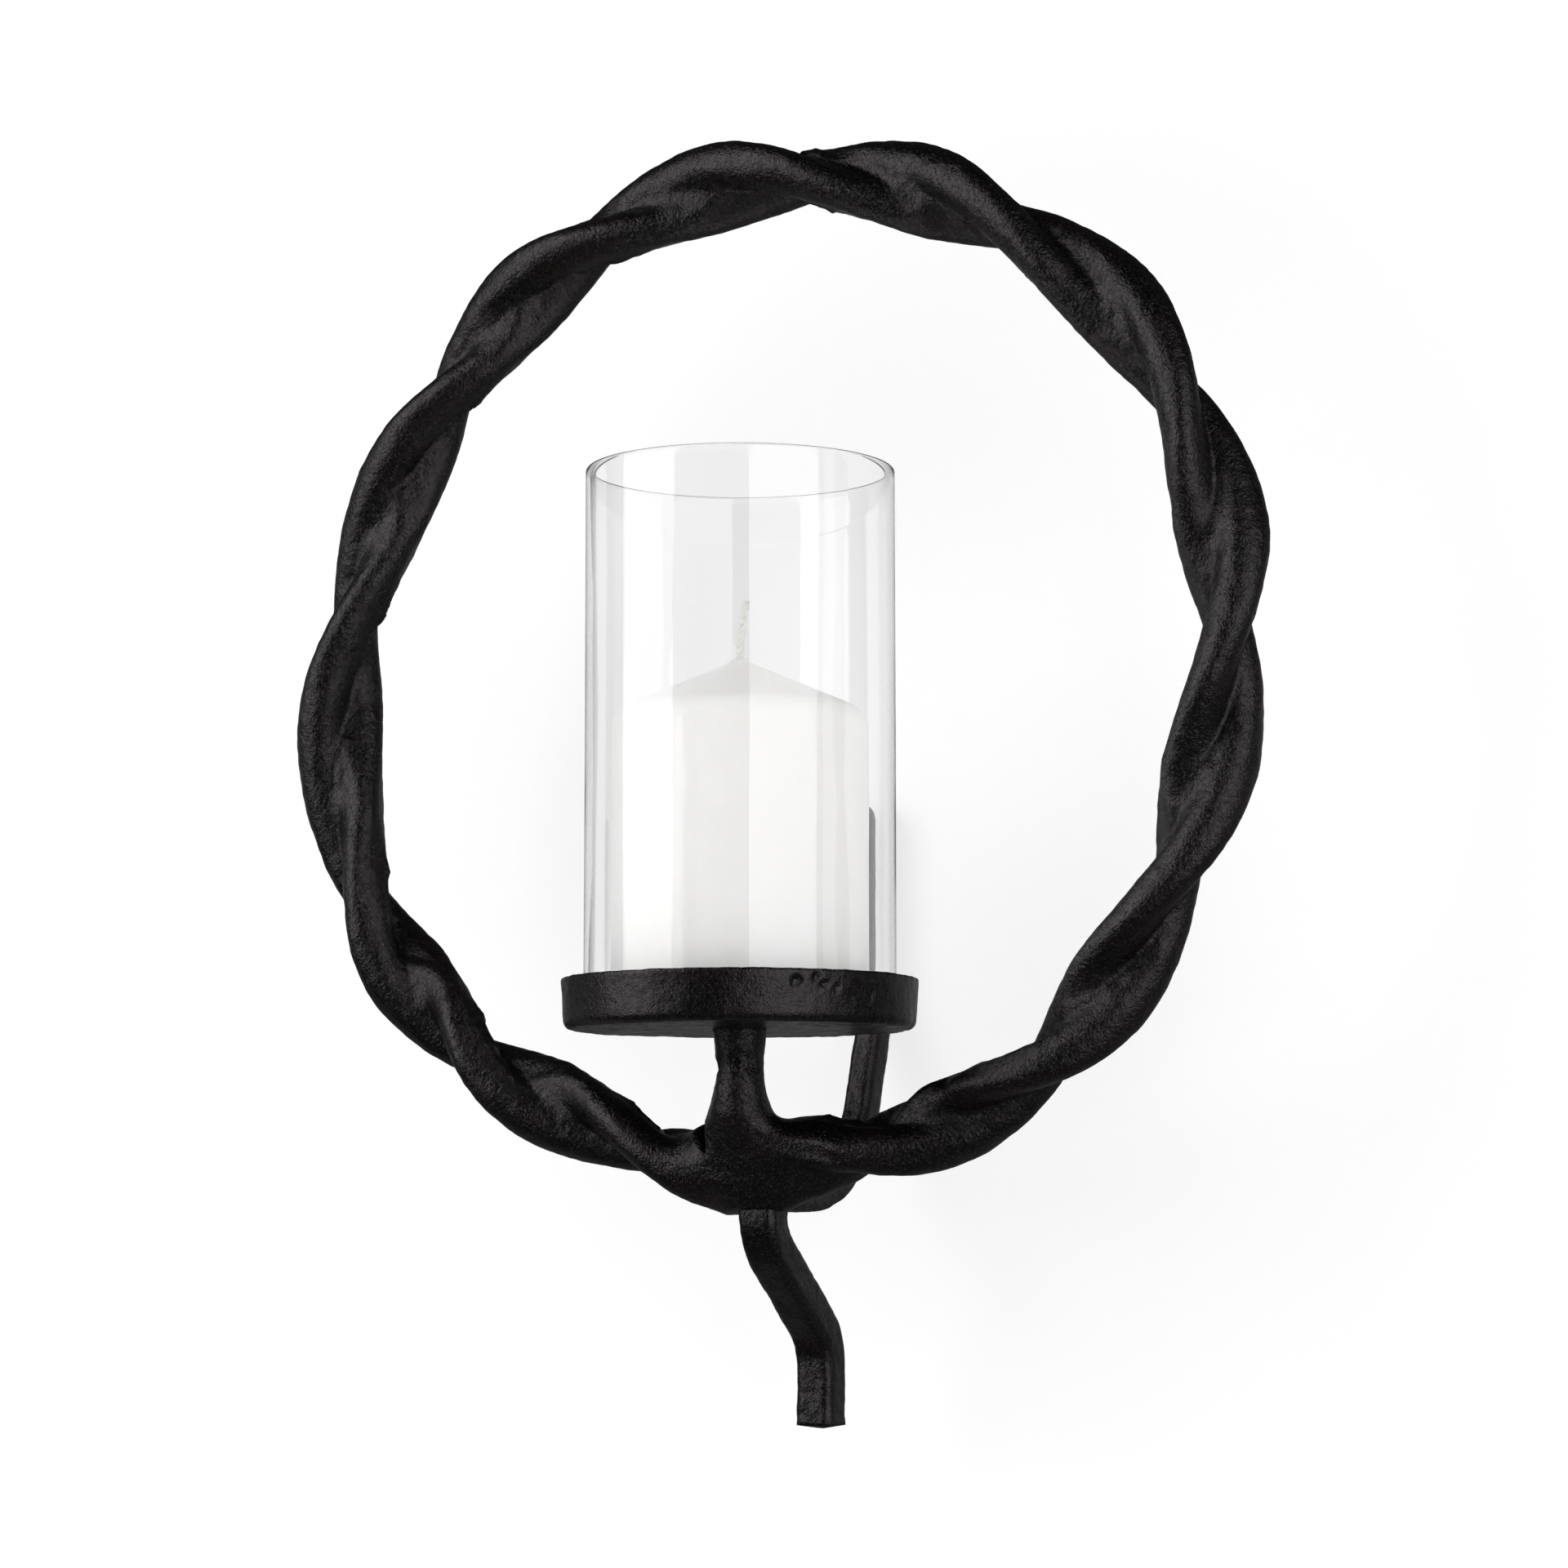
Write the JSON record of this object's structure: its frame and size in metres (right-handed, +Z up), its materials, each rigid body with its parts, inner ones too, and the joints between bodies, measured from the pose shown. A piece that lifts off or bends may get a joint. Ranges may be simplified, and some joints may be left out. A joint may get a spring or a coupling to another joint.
{
  "type": "wall sconce candle holder",
  "caption": "Wall sconce: a twisted cast ring with a round candle pan on a short stem, a clear glass chimney, a pillar candle and a wall arm with screw holes.",
  "frame": {"origin": "on the wall plane, midway between the two screw holes of the wall arm", "axes": "+Z up, +X to the right of somebody who faces the wall, +Y into the wall; the sconce stands out towards -Y"},
  "size_m": [0.3257, 0.1546, 0.3876],
  "materials": {
    "cast_black": "satin black paint over rough sand-cast metal",
    "clear_glass": "clear polished soda-lime glass",
    "wax": "ivory-white paraffin wax, soft sheen",
    "wick": "braided waxed cotton",
    "tin": "plain tinned sheet"
  },
  "bodies": {
    "holder": {"twisted_ring": "cast_black", "pan_stem": "cast_black", "candle_pan": "cast_black", "wall_arm": "cast_black", "lower_tail": "cast_black"},
    "glass": {"glass_chimney": "clear_glass"},
    "candle": {"candle_wax": "wax", "candle_wick": "wick", "wick_sustainer": "tin"}
  },
  "joints": [
    {"name": "glass_lift", "type": "slide", "parent": "holder", "child": "glass", "axis": [0, 0, 1], "range_m": [0, 0.065]},
    {"name": "candle_lift", "type": "slide", "parent": "holder", "child": "candle", "axis": [0, 0, 1], "range_m": [0, 0.1]}
  ]
}
